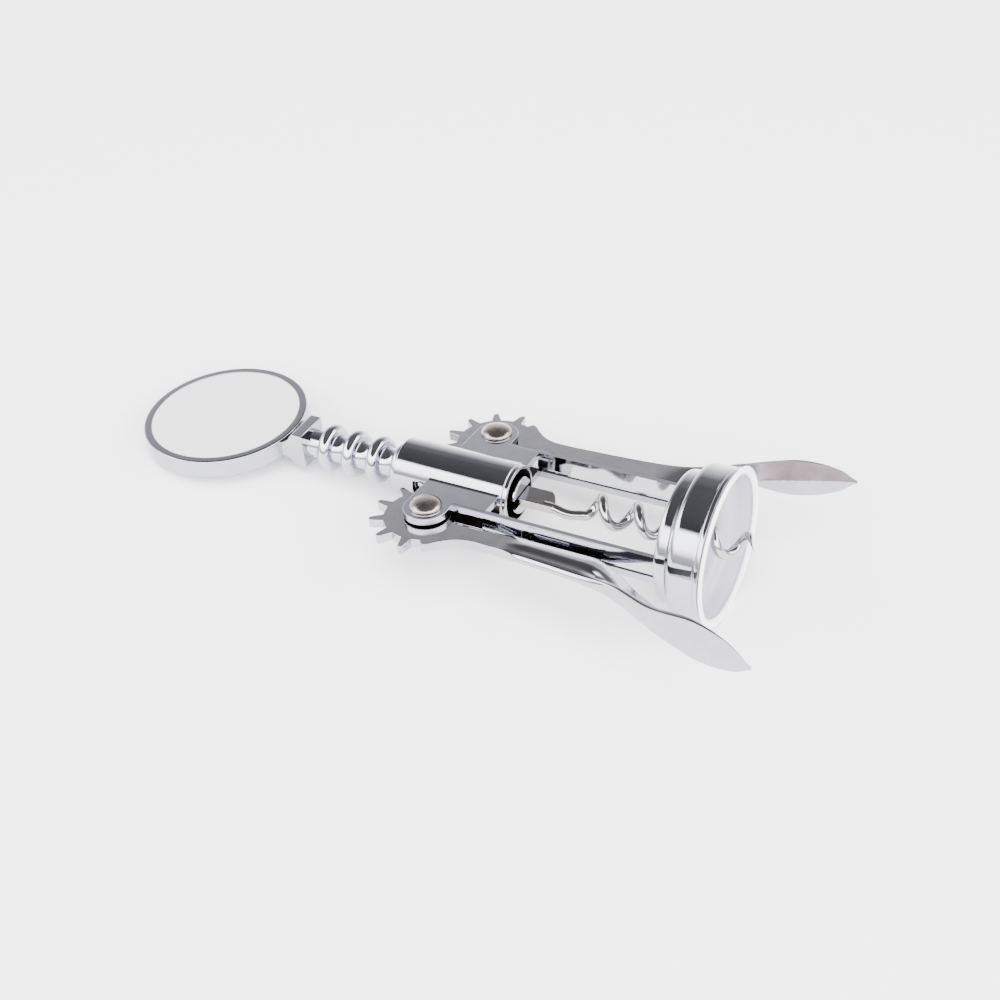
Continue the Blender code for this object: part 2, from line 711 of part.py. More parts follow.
def lever_plate_outline():
    """The flat end of the +Y lever about its pivot: gear, shoulder and the root of the arm."""
    first = first_tooth_angle()
    boss = RIVET_HOLE + 2.9 * MM
    outline = [
        gear_point(math.radians(-85.0), boss),
        gear_point(math.radians(-60.0), boss),
        gear_point(first - 0.9 * TOOTH_ANGLE, 0.5 * (boss + GEAR_ROOT_RADIUS)),
        gear_point(first - 0.5 * TOOTH_ANGLE, GEAR_ROOT_RADIUS),
    ]
    for k in range(TOOTH_COUNT):
        outline += tooth_outline(first + k * TOOTH_ANGLE)
        if k < TOOTH_COUNT - 1:
            outline.append(gear_point(first + (k + 0.5) * TOOTH_ANGLE, GEAR_ROOT_RADIUS))
    last = first + (TOOTH_COUNT - 1) * TOOTH_ANGLE
    outline.append(gear_point(0.5 * (last + SHOULDER_ANGLE), GEAR_ROOT_RADIUS - 0.2 * MM))
    step = math.radians(4.0)
    outline.append(gear_point(SHOULDER_ANGLE - step, SHOULDER_RADIUS - 0.5 * MM))
    outline.append(gear_point(SHOULDER_ANGLE, SHOULDER_RADIUS))
    outline.append(gear_point(SHOULDER_ANGLE + step, SHOULDER_RADIUS - 0.1 * MM))

    # The outer edge sweeps in from the shoulder to the arm, and the inner edge clears the leg
    arm_out = ARM_OUTER_Y - PIVOT_Y
    arm_in = ARM_INNER_Y - PIVOT_Y
    end = EAR_END_X - PIVOT_X + 9.0 * MM
    shoulder = gear_point(SHOULDER_ANGLE + step, SHOULDER_RADIUS)
    sweep_end = end - 7.5 * MM
    for k in range(1, 6):
        t = k / 6.0
        x = shoulder[0] + (sweep_end - shoulder[0]) * t
        y = arm_out + (shoulder[1] - arm_out) * (1.0 - t) ** 2.2
        outline.append((x, y))
    neck_in = NECK_INNER_Y - PIVOT_Y
    outline += [(sweep_end, arm_out), (end, arm_out), (end, arm_in)]
    for x, share in ((end - 3.5 * MM, 0.35), (end - 7.0 * MM, 0.9), (end - 14.5 * MM, 1.0)):
        outline.append((x, arm_in + (neck_in - arm_in) * share))
    return outline


# Outer edge, inner crest and half height of the arm and paddle along X, in millimetres
ARM_OUTER_STATIONS = [
    (-48.0, 21.8), (-44.0, 21.9), (-36.0, 22.3), (-28.0, 22.9), (-21.5, 23.6), (-17.0, 24.7),
    (-13.0, 26.4), (-8.5, 28.6), (-3.5, 30.3), (1.5, 31.5), (6.5, 32.7), (11.5, 33.9),
]
ARM_INNER_STATIONS = [
    (-48.0, 17.3), (-43.5, 16.4), (-36.0, 16.2), (-28.0, 16.2), (-23.5, 16.5), (-18.0, 18.6),
    (-12.5, 22.1), (-8.0, 24.6), (-3.5, 27.0), (1.0, 29.0), (6.5, 31.3), (11.5, 33.3),
]
ARM_HEIGHT_STATIONS = [
    (-48.0, 1.05), (-36.0, 1.05), (-28.0, 1.1), (-22.0, 1.3), (-16.0, 1.7), (-11.0, 2.1),
    (-6.5, 2.6), (-1.0, 3.75), (3.8, 4.55), (9.0, 4.15), (13.5, 2.75),
]


def arm_section(x):
    """Seven points of the +Y arm's section at x: a low flat bar near the gear, which becomes
    an upright leaf with a crest along the middle of its inner face."""
    tip_x = PADDLE_TIP_X / MM
    tip_y = PADDLE_TIP_Y / MM
    outer = curve_through(ARM_OUTER_STATIONS + [(tip_x, tip_y)], x)
    inner = curve_through(ARM_INNER_STATIONS + [(tip_x, tip_y - 0.35)], x)
    widest = PADDLE_HALF_HEIGHT / MM / 4.55
    height = curve_through(ARM_HEIGHT_STATIONS + [(tip_x, 0.35)], x)
    leaf = smooth((x + 26.0) / 13.0)
    height *= 1.0 + (widest - 1.0) * leaf
    rim = (outer - inner) * (1.0 - leaf) + min(1.1, 0.45 * (outer - inner)) * leaf
    crest = height * 0.9 * (1.0 - leaf) + 0.08 * leaf
    bulge = 0.35 * leaf * min(1.0, (outer - inner) / 1.5)
    points = [
        (outer, height),
        (outer + bulge, 0.0),
        (outer, -height),
        (outer - rim, -height),
        (inner, -crest),
        (inner, crest),
        (outer - rim, height),
    ]
    return [(x * MM, y * MM, z * MM) for y, z in points]


def make_lever(name, side, parent):
    """A lever about its pivot; the -Y lever is the mirror image of the +Y one."""
    lever = plate(name, lever_plate_outline(), -LEVER_HALF, LEVER_HALF)
    start = ARM_OUTER_STATIONS[0][0]
    length = PADDLE_TIP_X / MM - start
    steps = 26
    bm = bmesh.new()
    skin(bm, [arm_section(start + length * k / steps) for k in range(steps + 1)])
    bmesh.ops.translate(bm, verts=bm.verts, vec=(-PIVOT_X, -PIVOT_Y, 0.0))
    arm = mesh_object("arm", bm)
    hole = turned(
        "hole",
        [
            (-2.0 * LEVER_HALF, 0.0),
            (-2.0 * LEVER_HALF, RIVET_HOLE),
            (2.0 * LEVER_HALF, RIVET_HOLE),
            (2.0 * LEVER_HALF, 0.0),
        ],
        20,
        "Z",
    )
    combine(lever, [arm], "UNION")
    combine(lever, [hole], "DIFFERENCE")
    if side < 0.0:
        lever.data.transform(Matrix.Scale(-1.0, 4, (0.0, 1.0, 0.0)))
        lever.data.flip_normals()
    finish(lever, CHROME, parent)


# ---------------------------------------------------------------- the whole tool

def rest_tilt():
    """The angle at which the handle's lower edge and the bell's rim both touch the floor."""
    edge_x = HEAD_CENTRE_X - (HEAD_RADIUS - HEAD_CHAMFER)
    edge_drop = HEAD_THICKNESS / 2.0
    slopes = []
    for x, radius in liner_profile() + bell_profile():
        slopes.append((radius - edge_drop) / (x - edge_x))
    return math.atan(max(slopes))


def stand_on_floor(root):
    """Moves the tool so that its box is centred on Z and its lowest point is on Z = 0."""
    bpy.context.view_layer.update()
    points = []
    for obj in bpy.context.scene.objects:
        if obj.type == "MESH":
            points += [obj.matrix_world @ vertex.co for vertex in obj.data.vertices]
    low = [min(point[i] for point in points) for i in range(3)]
    high = [max(point[i] for point in points) for i in range(3)]
    root.location.x -= 0.5 * (low[0] + high[0])
    root.location.y -= 0.5 * (low[1] + high[1])
    root.location.z -= low[2]
    bpy.context.view_layer.update()


def build():
    clear_scene()
    root = empty("corkscrew", (0.0, 0.0, 0.0))
    root.rotation_euler = (0.0, -rest_tilt(), 0.0)
    spindle_axis = empty("spindle_axis", (0.0, 0.0, 0.0), root)
    frame_axis = empty("frame_axis", (0.0, 0.0, 0.0), root)
    frame_axis.rotation_euler = (FRAME_ROLL, 0.0, 0.0)

    make_handle(spindle_axis)
    make_rack(spindle_axis)
    make_spindle(spindle_axis)
    make_worm(spindle_axis)
    make_frame(frame_axis)
    make_liner(frame_axis)
    for name, side in (("left", 1.0), ("right", -1.0)):
        make_rivet(name + "_rivet", side, frame_axis)
        pivot = empty(name + "_pivot", (PIVOT_X, side * PIVOT_Y, 0.0), frame_axis)
        make_lever(name + "_lever", side, pivot)
    stand_on_floor(root)


build()
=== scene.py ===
"""Looks for the wing corkscrew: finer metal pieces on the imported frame, materials, studio, camera."""
import math

import bmesh
import bpy
from mathutils import Euler, Matrix, Vector


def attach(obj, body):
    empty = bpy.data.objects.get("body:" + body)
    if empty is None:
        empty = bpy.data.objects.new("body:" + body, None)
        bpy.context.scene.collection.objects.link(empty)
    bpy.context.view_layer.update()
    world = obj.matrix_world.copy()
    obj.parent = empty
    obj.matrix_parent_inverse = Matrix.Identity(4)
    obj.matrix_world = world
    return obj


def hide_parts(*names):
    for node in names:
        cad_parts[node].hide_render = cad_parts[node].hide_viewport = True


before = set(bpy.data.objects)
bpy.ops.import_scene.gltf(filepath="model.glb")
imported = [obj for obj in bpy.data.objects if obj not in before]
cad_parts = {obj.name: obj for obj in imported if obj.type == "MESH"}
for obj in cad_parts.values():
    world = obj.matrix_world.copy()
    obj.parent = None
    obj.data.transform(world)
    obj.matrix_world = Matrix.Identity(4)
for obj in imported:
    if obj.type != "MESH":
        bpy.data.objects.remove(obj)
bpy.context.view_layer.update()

MM = 0.001

# Where the tool lies in the row frame: its axis tilts up towards the bell, and the frame,
# with its levers, has rolled on the spindle
ORIGIN = Vector((0.068225, 0.0, 0.017943))
TILT = math.asin(0.101075)
ROLL = math.radians(-4.7)
TOOL = Matrix.Translation(ORIGIN) @ Matrix.Rotation(-TILT, 4, "Y")
CASTING = TOOL @ Matrix.Rotation(ROLL, 4, "X")

# Sizes in the tool's own frame, in millimetres
HEAD_X, HEAD_R, HEAD_HALF = -133.8, 20.7, 2.4
INLAY_R, INLAY_TOP = 18.6, 2.3
BLOCK_X, BLOCK_HALF = -107.6, 4.6
RING_R, ROOT_R, RING_HALF, FIRST_RING, RING_COUNT = 5.8, 3.6, 1.7, -101.7, 7
PITCH_R, TOOTH = 12.4, math.radians(31.4)
RING_PITCH = PITCH_R * TOOTH
TIP_R, GEAR_R, TEETH, BOSS_R = 13.0, 9.8, 7, 5.6
PIVOT_X, PIVOT_Y = -65.6, 16.9
LEVER_HALF, SLOT_HALF, LEG_SLOT, EAR_TOP = 1.1, 1.55, 2.0, 3.35
BARREL_R, BARREL_BORE, BARREL_A, BARREL_B = 7.2, 6.1, -80.6, -52.1
EAR_NOSE, EAR_END = 5.2, -52.5
LEG_Y, LEG_TOP, LEG_EDGE, LEG_CREST = 13.6, 3.3, 0.6, 1.2
WIRE_R, HELIX_R, HELIX_PITCH, HELIX_RISE = 1.15, 2.7, 8.55, 1.4
HELIX_LOW, HELIX_TIP, TANG_END, TANG_HALF = -34.1, 5.6, -42.6, 2.7
ROD_R, FORK_R, FORK_LENGTH, FORK_DEPTH, FORK_GAP = 2.0, 4.4, 8.0, 6.4, 1.3
PIN_R, PIN_HALF, PIN_BACK = 0.8, 4.0, 3.2
RIVET_R, RIVET_HEAD_R, RIVET_RISE, RIVET_BASE = 2.4, 3.7, 1.85, 1.0

# The brownish finish: where its faces start, in millimetres of the tool's own frame, and the
# part of X, in metres, over which the arm's chrome fades into it
WARM_X = -14.0
FADE_START, FADE_END = 0.056, 0.068
ARM_COLOUR, ARM_ROUGH = (0.40, 0.395, 0.425), 0.08


# ---------------------------------------------------------------- mesh helpers

def new_object(name, bm, place, body, material, sharp=35.0, bevel=0.0, segments=2):
    """A bmesh in millimetres in the tool's frame becomes a finished piece that rides on a body."""
    bmesh.ops.recalc_face_normals(bm, faces=bm.faces)
    mesh = bpy.data.meshes.new(name)
    bm.to_mesh(mesh)
    bm.free()
    mesh.transform(place @ Matrix.Scale(MM, 4))
    obj = bpy.data.objects.new(name, mesh)
    bpy.context.scene.collection.objects.link(obj)
    if bevel > 0.0:
        modifier = obj.modifiers.new("edge", "BEVEL")
        modifier.width = bevel * MM
        modifier.segments = segments
        modifier.limit_method = "ANGLE"
        modifier.angle_limit = math.radians(28.0)
        modifier.miter_outer = "MITER_ARC"
        apply_modifiers(obj)
    obj.data.materials.clear()
    obj.data.materials.append(material)
    obj.data.shade_smooth()
    obj.data.set_sharp_from_angle(angle=math.radians(sharp))
    normals = obj.modifiers.new("normals", "WEIGHTED_NORMAL")
    normals.keep_sharp = True
    apply_modifiers(obj)
    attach(obj, body)
    return obj


def apply_modifiers(obj):
    """The evaluated mesh replaces the object's own."""
    bpy.context.view_layer.update()
    graph = bpy.context.evaluated_depsgraph_get()
    mesh = bpy.data.meshes.new_from_object(obj.evaluated_get(graph))
    obj.modifiers.clear()
    obj.data = mesh


def lathe(bm, profile, segments, axis="X", centre=(0.0, 0.0, 0.0)):
    """Adds a turned body; a profile that starts and ends on the axis is solid, others are rings."""
    solid = profile[0][1] < 1e-9 and profile[-1][1] < 1e-9
    body = profile[1:-1] if solid else profile
    loops = []
    for along, radius in body:
        loop = []
        for k in range(segments):
            turn = 2.0 * math.pi * k / segments
            a, b = radius * math.cos(turn), radius * math.sin(turn)
            p = (along, a, b) if axis == "X" else (a, b, along)
            loop.append(bm.verts.new(Vector(p) + Vector(centre)))
        loops.append(loop)
    pairs = list(zip(loops, loops[1:]))
    if not solid:
        pairs.append((loops[-1], loops[0]))
    for one, two in pairs:
        for k in range(segments):
            n = (k + 1) % segments
            bm.faces.new((one[k], one[n], two[n], two[k]))
    if solid:
        for loop in (loops[0], loops[-1]):
            bm.faces.new(loop)


def skin(bm, rings):
    """Adds a tube through rings of points, with capped ends."""
    loops = [[bm.verts.new(p) for p in ring] for ring in rings]
    for one, two in zip(loops, loops[1:]):
        for i in range(len(one)):
            j = (i + 1) % len(one)
            bm.faces.new((one[i], one[j], two[j], two[i]))
    bm.faces.new(loops[0])
    bm.faces.new(loops[-1])


def prism(bm, outline, low, high):
    """Adds an outline in X and Y, extruded from Z = low to Z = high."""
    skin(bm, [[(x, y, low) for x, y in outline], [(x, y, high) for x, y in outline]])


def rounded(profile, radius, steps=4):
    """A profile with its inner corners filleted, as far as its sides allow."""
    result = [profile[0]]
    for before, at, after in zip(profile, profile[1:], profile[2:]):
        p, a, b = Vector(at), Vector(before), Vector(after)
        u, v = a - p, b - p
        cut = min(radius, 0.45 * u.length, 0.45 * v.length)
        if cut < 1e-4:
            result.append(at)
            continue
        u.normalize()
        v.normalize()
        for k in range(steps + 1):
            t = k / steps
            q = p + u * cut * (1.0 - t) ** 2 + v * cut * t ** 2
            result.append((q.x, q.y))
    result.append(profile[-1])
    return result


def cut_boxes(name, bm, boxes):
    """The bmesh with axis-aligned boxes cut from it, as a new bmesh."""
    mesh = bpy.data.meshes.new(name)
    bmesh.ops.recalc_face_normals(bm, faces=bm.faces)
    bm.to_mesh(mesh)
    bm.free()
    obj = bpy.data.objects.new(name, mesh)
    bpy.context.scene.collection.objects.link(obj)
    cutters = []
    for low, high in boxes:
        tool = bmesh.new()
        outline = [(low[0], low[1]), (high[0], low[1]), (high[0], high[1]), (low[0], high[1])]
        prism(tool, outline, low[2], high[2])
        bmesh.ops.recalc_face_normals(tool, faces=tool.faces)
        tool_mesh = bpy.data.meshes.new(name + "_cut")
        tool.to_mesh(tool_mesh)
        tool.free()
        cutter = bpy.data.objects.new(name + "_cut", tool_mesh)
        bpy.context.scene.collection.objects.link(cutter)
        modifier = obj.modifiers.new("cut", "BOOLEAN")
        modifier.operation = "DIFFERENCE"
        modifier.solver = "EXACT"
        modifier.object = cutter
        cutters.append(cutter)
    apply_modifiers(obj)
    result = bmesh.new()
    result.from_mesh(obj.data)
    for item in cutters + [obj]:
        bpy.data.objects.remove(item, do_unlink=True)
    return result


def smooth(t):
    """A soft step from 0 to 1, flat outside."""
    t = min(max(t, 0.0), 1.0)
    return t * t * (3.0 - 2.0 * t)


def through(stations, x):
    """A smooth value at x through (x, value) stations."""
    last = len(stations) - 2
    k = next((i for i in range(last + 1) if x <= stations[i + 1][0]), last)
    x1, v1 = stations[k]
    x2, v2 = stations[k + 1]
    x0, v0 = stations[k - 1] if k > 0 else (x1 - (x2 - x1), v1)
    x3, v3 = stations[k + 2] if k < last else (x2 + (x2 - x1), v2)
    t = (x - x1) / (x2 - x1)
    m1 = (v2 - v0) / (x2 - x0) * (x2 - x1)
    m2 = (v3 - v1) / (x3 - x1) * (x2 - x1)
    t2, t3 = t * t, t * t * t
    return (2 * t3 - 3 * t2 + 1) * v1 + (t3 - 2 * t2 + t) * m1 + (3 * t2 - 2 * t3) * v2 + (t3 - t2) * m2


# ---------------------------------------------------------------- materials

def surface(name, colour, metallic, rough, tint, grain, relief, wear_scale=260.0, coat=0.0):
    """A procedural surface: patchy tint, uneven roughness with fine scratches, slight relief."""
    mat = bpy.data.materials.new(name)
    mat.use_nodes = True
    tree = mat.node_tree
    shader = tree.nodes["Principled BSDF"]
    shader.inputs["Metallic"].default_value = metallic
    shader.inputs["Coat Weight"].default_value = coat

    def node(kind, **values):
        made = tree.nodes.new(kind)
        for key, value in values.items():
            made.inputs[key].default_value = value
        return made

    place = tree.nodes.new("ShaderNodeTexCoord")
    patches = node("ShaderNodeTexNoise", Scale=wear_scale, Detail=4.0, Roughness=0.6)
    fine = node("ShaderNodeTexNoise", Scale=wear_scale * 9.0, Detail=3.0, Roughness=0.7)
    stretch = node("ShaderNodeMapping")
    stretch.inputs["Scale"].default_value = (0.25, 6.0, 6.0)
    scratches = node("ShaderNodeTexNoise", Scale=wear_scale * 4.0, Detail=5.0, Roughness=0.75)
    tree.links.new(place.outputs["Object"], patches.inputs["Vector"])
    tree.links.new(place.outputs["Object"], fine.inputs["Vector"])
    tree.links.new(place.outputs["Object"], stretch.inputs["Vector"])
    tree.links.new(stretch.outputs["Vector"], scratches.inputs["Vector"])

    ramp = tree.nodes.new("ShaderNodeValToRGB")
    ramp.color_ramp.elements[0].position = 0.3
    ramp.color_ramp.elements[1].position = 0.7
    ramp.color_ramp.elements[0].color = (*[c * (1.0 - tint) for c in colour], 1.0)
    ramp.color_ramp.elements[1].color = (*[min(1.0, c * (1.0 + 0.5 * tint)) for c in colour], 1.0)
    tree.links.new(patches.outputs["Fac"], ramp.inputs["Fac"])
    tree.links.new(ramp.outputs["Color"], shader.inputs["Base Color"])

    roughness = node("ShaderNodeMapRange")
    roughness.inputs["From Min"].default_value = 0.3
    roughness.inputs["From Max"].default_value = 0.75
    roughness.inputs["To Min"].default_value = rough * (1.0 - grain)
    roughness.inputs["To Max"].default_value = rough * (1.0 + grain)
    tree.links.new(scratches.outputs["Fac"], roughness.inputs["Value"])
    tree.links.new(roughness.outputs["Result"], shader.inputs["Roughness"])

    total = node("ShaderNodeMath")
    total.operation = "ADD"
    tree.links.new(fine.outputs["Fac"], total.inputs[0])
    tree.links.new(patches.outputs["Fac"], total.inputs[1])
    bump = node("ShaderNodeBump", Strength=relief, Distance=0.00002)
    tree.links.new(total.outputs["Value"], bump.inputs["Height"])
    tree.links.new(bump.outputs["Normal"], shader.inputs["Normal"])
    return mat


def fade_from(mat, colour, rough, metallic, start, end):
    """Along the tool's length, from X = start to X = end, another finish passes into this one."""
    tree = mat.node_tree
    shader = tree.nodes["Principled BSDF"]
    place = tree.nodes.new("ShaderNodeTexCoord")
    split = tree.nodes.new("ShaderNodeSeparateXYZ")
    tree.links.new(place.outputs["Object"], split.inputs["Vector"])
    fade = tree.nodes.new("ShaderNodeMapRange")
    fade.interpolation_type = "SMOOTHSTEP"
    fade.inputs["From Min"].default_value = start
    fade.inputs["From Max"].default_value = end
    tree.links.new(split.outputs["X"], fade.inputs["Value"])
    tint = shader.inputs["Base Color"].links[0].from_socket
    mix = tree.nodes.new("ShaderNodeMix")
    mix.data_type = "RGBA"
    mix.inputs["A"].default_value = (*colour, 1.0)
    tree.links.new(tint, mix.inputs["B"])
    tree.links.new(fade.outputs["Result"], mix.inputs["Factor"])
    tree.links.new(mix.outputs["Result"], shader.inputs["Base Color"])
    own_rough = shader.inputs["Roughness"].links[0].from_socket
    blend = tree.nodes.new("ShaderNodeMix")
    blend.data_type = "FLOAT"
    blend.inputs["A"].default_value = rough
    tree.links.new(own_rough, blend.inputs["B"])
    tree.links.new(fade.outputs["Result"], blend.inputs["Factor"])
    tree.links.new(blend.outputs["Result"], shader.inputs["Roughness"])
    metal = tree.nodes.new("ShaderNodeMapRange")
    metal.inputs["To Min"].default_value = metallic
    metal.inputs["To Max"].default_value = shader.inputs["Metallic"].default_value
    tree.links.new(fade.outputs["Result"], metal.inputs["Value"])
    tree.links.new(metal.outputs["Result"], shader.inputs["Metallic"])


CHROME = surface("chrome", (0.43, 0.43, 0.47), 1.0, 0.06, 0.07, 0.45, 0.16)
ARM_CHROME = surface("arm_chrome", ARM_COLOUR, 1.0, ARM_ROUGH, 0.1, 0.45, 0.2)
PADDLE_WARM = surface("paddle_warm", (0.15, 0.117, 0.123), 0.5, 0.34, 0.3, 0.3, 0.4)
fade_from(PADDLE_WARM, ARM_COLOUR, ARM_ROUGH, 1.0, FADE_START, FADE_END)
RING_CHROME = surface("ring_chrome", (0.48, 0.48, 0.535), 1.0, 0.06, 0.06, 0.45, 0.2)
NICKEL = surface("rivet_nickel", (0.42, 0.365, 0.335), 1.0, 0.24, 0.4, 0.4, 0.9, 420.0)
STEEL = surface("worm_steel", (0.42, 0.40, 0.40), 1.0, 0.13, 0.10, 0.4, 0.25, 420.0)
INLAY = surface("inlay_grey", (0.64, 0.64, 0.635), 0.0, 0.5, 0.012, 0.2, 0.06, 160.0)
LINER = surface("liner_white", (0.93, 0.93, 0.94), 0.0, 0.22, 0.015, 0.3, 0.05, 160.0, 0.25)
# Painted shade: the liner's white, made darker and bluish for the inside of the cup
LINER_SHADE = surface("liner_cup_painted_shade", (0.40, 0.39, 0.46), 0.0, 0.3, 0.03, 0.3, 0.05, 160.0, 0.1)
# Painted shade: a near-black finish for faces in the slot and the bore, where shade falls
PAINTED_SHADE = surface("slot_painted_shade", (0.05, 0.038, 0.034), 1.0, 0.5, 0.3, 0.3, 0.5, 420.0)


# ---------------------------------------------------------------- handle

def build_handle():
    bm = bmesh.new()
    seat = INLAY_TOP - 0.8
    outer = rounded([
        (-HEAD_HALF, 0.0), (-HEAD_HALF, HEAD_R - 0.2), (0.0, HEAD_R),
        (HEAD_HALF, HEAD_R - 0.15), (HEAD_HALF, HEAD_R - 1.2),
    ], 0.5, 6)
    outer += rounded([
        (HEAD_HALF, HEAD_R - 1.3), (HEAD_HALF, INLAY_R + 0.06), (seat, INLAY_R + 0.05), (seat, 0.0),
    ], 0.08, 3)
    lathe(bm, outer, 160, "Z", (HEAD_X, 0.0, 0.0))
    disc = new_object("handle_disc", bm, TOOL, "handle", CHROME, 50.0)

    bm = bmesh.new()
    edge = HEAD_X + HEAD_R
    rings = []
    for x, y, z in (
        (edge - 1.6, 5.1, 1.6), (edge - 0.2, 4.95, 1.95), (edge + 1.4, 4.7, 2.9),
        (BLOCK_X - 2.9, BLOCK_HALF, 4.55), (BLOCK_X, BLOCK_HALF, BLOCK_HALF),
    ):
        rings.append([(x, -y, -z), (x, y, -z), (x, y, z), (x, -y, z)])
    skin(bm, rings)
    block = new_object("handle_block", bm, TOOL, "handle", CHROME, 25.0, 0.22, 3)
    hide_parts("handle_head")
    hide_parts("handle_head")

    bm = bmesh.new()
    lathe(bm, rounded([(seat, 0.0), (seat, INLAY_R), (INLAY_TOP, INLAY_R), (INLAY_TOP, 0.0)], 0.12, 3),
          160, "Z", (HEAD_X, 0.0, 0.0))
    inlay = new_object("handle_inlay", bm, TOOL, "handle", INLAY, 50.0)
    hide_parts("head_inlay")


# ---------------------------------------------------------------- rack, spindle, worm

def build_rack():
    start = BLOCK_X + 0.04
    end = FIRST_RING + (RING_COUNT - 1) * RING_PITCH + 2.6
    depth = RING_R - ROOT_R
    profile = [(start, 2.3), (start, ROOT_R)]
    for k in range(RING_COUNT):
        centre = FIRST_RING + k * RING_PITCH
        for step in range(25):
            turn = math.pi * (1.0 - step / 24.0)
            c, s = math.cos(turn), math.sin(turn)
            power = 2.0 / 2.3
            x = centre + RING_HALF * math.copysign(abs(c) ** power, c)
            profile.append((x, ROOT_R + depth * abs(s) ** power))
        if k < RING_COUNT - 1:
            for share in (0.25, 0.5, 0.75):
                gap = centre + RING_HALF + (RING_PITCH - 2.0 * RING_HALF) * share
                profile.append((gap, ROOT_R - 0.25 * math.sin(math.pi * share)))
    profile += [(end, ROOT_R), (end, 2.3)]
    bm = bmesh.new()
    lathe(bm, profile, 96)
    rack = new_object("rack_rings", bm, TOOL, "rack", RING_CHROME, 60.0)
    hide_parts("ring_rack")


def build_spindle():
    start = BLOCK_X - 4.7
    fork_a = FIRST_RING + (RING_COUNT - 1) * RING_PITCH + 2.9
    fork_b = fork_a + FORK_LENGTH
    bm = bmesh.new()
    lathe(bm, rounded([
        (start, 0.0), (start, ROD_R), (fork_a, ROD_R), (fork_a, FORK_R), (fork_b, FORK_R),
        (fork_b, 0.0),
    ], 0.5, 4), 72)
    slot = ((fork_b - FORK_DEPTH, -9.0, -FORK_GAP), (fork_b + 4.0, 9.0, FORK_GAP))
    bm = cut_boxes("fork", bm, [slot])
    rod = new_object("spindle_fork", bm, TOOL, "handle", RING_CHROME, 40.0)
    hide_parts("spindle")

    bm = bmesh.new()
    profile = [(-PIN_HALF, 0.0), (-PIN_HALF, PIN_R), (PIN_HALF, PIN_R), (PIN_HALF, 0.0)]
    lathe(bm, rounded(profile, 0.25, 3), 32, "Z", (fork_b - PIN_BACK, 0.0, 0.0))
    pin = new_object("fork_pin", bm, TOOL, "handle", NICKEL, 60.0)
    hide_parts("tang_pin")
    return fork_b


def helix(x):
    """The middle of the wire at x."""
    lead = smooth((x - TANG_END) / (HELIX_LOW - TANG_END))
    if x < HELIX_LOW:
        angle = math.pi + 0.5 * math.pi * lead
    else:
        angle = 1.5 * math.pi + 2.0 * math.pi * (x - HELIX_LOW) / HELIX_PITCH
    closing = smooth((x - HELIX_TIP + HELIX_PITCH / 2.0) / (HELIX_PITCH / 2.0))
    first = TANG_HALF - WIRE_R
    radius = (first + (HELIX_R - first) * lead) * (1.0 - 0.2 * closing)
    rise = HELIX_RISE * lead * (1.0 - 0.3 * closing)
    return Vector((x, radius * math.cos(angle), rise + radius * math.sin(angle)))


def build_worm(fork_b):
    bm = bmesh.new()
    start, steps, sides = TANG_END - 1.2, 520, 20
    step = (HELIX_TIP - start) / steps
    side = Vector((0.0, 0.0, 1.0))
    rings = []
    for k in range(steps + 1):
        x = start + step * k
        ahead = (helix(x + 0.1 * step) - helix(x - 0.1 * step)).normalized()
        side = (side - ahead * side.dot(ahead)).normalized()
        other = ahead.cross(side)
        radius = WIRE_R * (0.1 + 0.9 * smooth((HELIX_TIP - x) / (0.4 * HELIX_PITCH)))
        rings.append([
            helix(x) + (side * math.cos(t) + other * math.sin(t)) * radius
            for t in (2.0 * math.pi * n / sides for n in range(sides))
        ])
    skin(bm, rings)
    wire = new_object("worm_wire", bm, TOOL, "handle", STEEL, 60.0)

    bm = bmesh.new()
    a = fork_b - 6.1
    outline = [
        (a, -TANG_HALF), (TANG_END + 1.0, -TANG_HALF), (TANG_END + 1.9, -1.8),
        (TANG_END + 0.1, 1.7), (TANG_END - 1.0, TANG_HALF), (a, TANG_HALF),
    ]
    prism(bm, outline, -1.0, 1.0)
    tang = new_object("worm_tang", bm, TOOL, "handle", STEEL, 30.0, 0.2, 3)
    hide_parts("worm")
    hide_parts("worm")


# ---------------------------------------------------------------- frame

def build_barrel():
    bm = bmesh.new()
    lip = BARREL_B + 1.1
    outer = rounded([
        (BARREL_A + 0.35, BARREL_BORE), (BARREL_A, BARREL_BORE + 0.3), (BARREL_A, BARREL_R),
        (BARREL_B, BARREL_R), (BARREL_B + 0.1, 6.85), (lip, 6.85), (lip, BARREL_BORE),
    ], 0.8, 6)
    lathe(bm, outer, 128)
    half = math.sqrt((TIP_R + 0.6) ** 2 - (PIVOT_Y - BARREL_R) ** 2)
    bm = cut_boxes("barrel", bm, [
        ((PIVOT_X - half, -12.0, -SLOT_HALF), (PIVOT_X + half, 12.0, SLOT_HALF)),
    ])
    barrel = new_object("frame_barrel", bm, CASTING, "frame", CHROME, 40.0)
    # Painted shade: the barrel's inner faces get the near-black finish
    paint_shade(barrel, lambda p: math.hypot(p.y, p.z) < BARREL_R - 0.4 and p.x < BARREL_B)
    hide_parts("frame")


def arc(centre, radius, start, end, steps):
    """Points along a circle in X and Y."""
    points = []
    for k in range(steps + 1):
        a = start + (end - start) * k / steps
        points.append((centre[0] + radius * math.cos(a), centre[1] + radius * math.sin(a)))
    return points


def paint_shade(obj, inside):
    """Faces that look into the slot get a near-black finish: painted shade, standing in for the shade in
    the slot and the bore.
    """
    obj.data.materials.append(PAINTED_SHADE)
    to_tool = CASTING.inverted()
    for face in obj.data.polygons:
        if inside((to_tool @ face.center) / MM):
            face.material_index = 1


